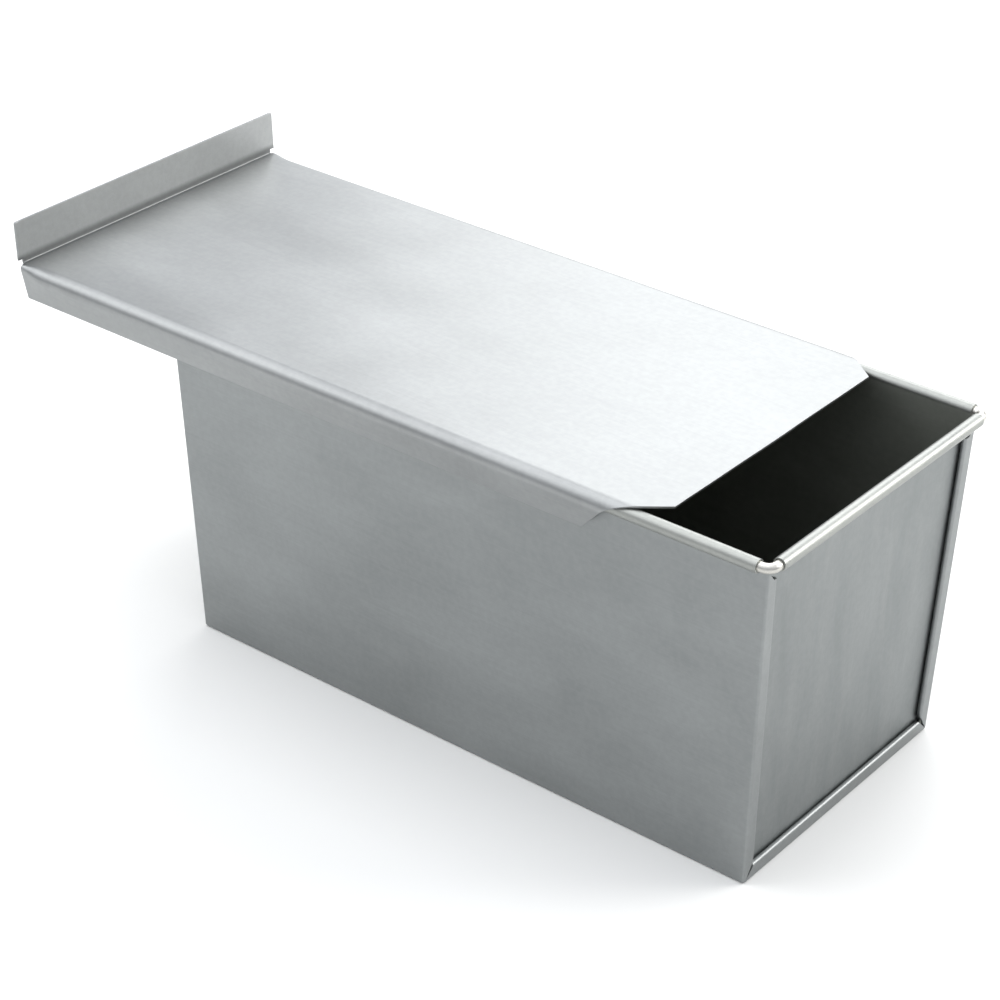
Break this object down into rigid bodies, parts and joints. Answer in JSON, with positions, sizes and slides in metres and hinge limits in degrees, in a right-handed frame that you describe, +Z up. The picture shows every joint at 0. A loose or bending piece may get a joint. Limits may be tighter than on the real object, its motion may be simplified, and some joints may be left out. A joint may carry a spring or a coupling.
{
  "type": "loaf pan",
  "caption": "Tapered rectangular sheet-metal loaf pan with folded end seams, a wired rolled rim and a slide-on lid with an upturned pull.",
  "frame": {"origin": "on the rest face, under the middle of the pan's floor", "axes": "+Z up out of the pan's mouth; +X along the pan, towards the end that the partly open lid leaves clear; +Y across it"},
  "size_m": [0.3265, 0.1348, 0.1454],
  "materials": {
    "pan_sheet": "satin aluminised steel sheet",
    "rim_wire": "drawn steel wire, satin",
    "lid_sheet": "satin aluminised steel sheet"
  },
  "bodies": {
    "pan": {"pan_body": "pan_sheet", "end_panel_front": "pan_sheet", "end_panel_rear": "pan_sheet", "rim_wire": "rim_wire"},
    "lid": {"lid": "lid_sheet"}
  },
  "joints": [
    {"name": "lid_slide", "type": "slide", "parent": "pan", "child": "lid", "axis": [1, 0, 0], "range_m": [-0.22, 0.043]}
  ]
}
